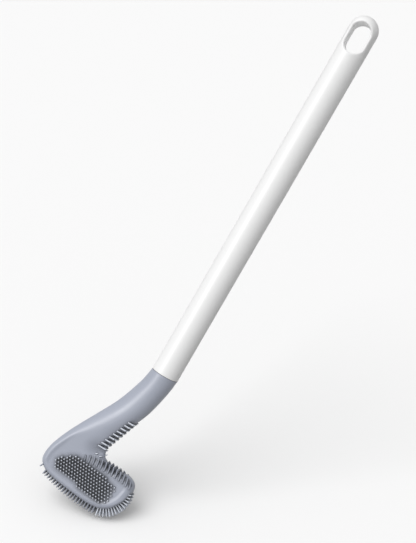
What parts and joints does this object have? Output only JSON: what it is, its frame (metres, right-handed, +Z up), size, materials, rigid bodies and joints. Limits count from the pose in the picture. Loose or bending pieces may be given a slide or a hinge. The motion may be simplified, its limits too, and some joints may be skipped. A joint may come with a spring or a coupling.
{
  "type": "toilet brush",
  "caption": "Golf-club-shaped toilet brush: white tube handle with a hanging eye and a soft grey head with nubs and rim bristles that pulls off its socket.",
  "frame": {"origin": "on the surface under the brush, below the middle of its bounding box; the lowest bristles of the toe touch z = 0", "axes": "+Z up; the handle leans 36.7 degrees from +Z towards +X and +Y; the nubbed front face looks towards -Y and a little up; the toe points towards +X"},
  "size_m": [0.2853, 0.1791, 0.3937],
  "materials": {
    "white_plastic": "satin-gloss moulded polypropylene",
    "inner_plastic": "plain moulded polypropylene",
    "core_plastic": "plain moulded polypropylene",
    "soft_skin": "satin moulded thermoplastic rubber",
    "soft_bristles": "satin moulded thermoplastic rubber"
  },
  "bodies": {
    "handle": {"handle_tube": "white_plastic", "socket_bush": "inner_plastic"},
    "head": {"head_core": "core_plastic", "head_skin": "soft_skin", "front_nubs": "soft_bristles", "back_nubs": "soft_bristles", "sole_bristles": "soft_bristles", "toe_bristles": "soft_bristles", "top_edge_bristles": "soft_bristles", "corner_bristles": "soft_bristles", "neck_bristles": "soft_bristles"}
  },
  "joints": [
    {"name": "head_release", "type": "slide", "parent": "handle", "child": "head", "axis": [-0.4972, -0.3316, -0.8018], "range_m": [0, 0.058]}
  ]
}
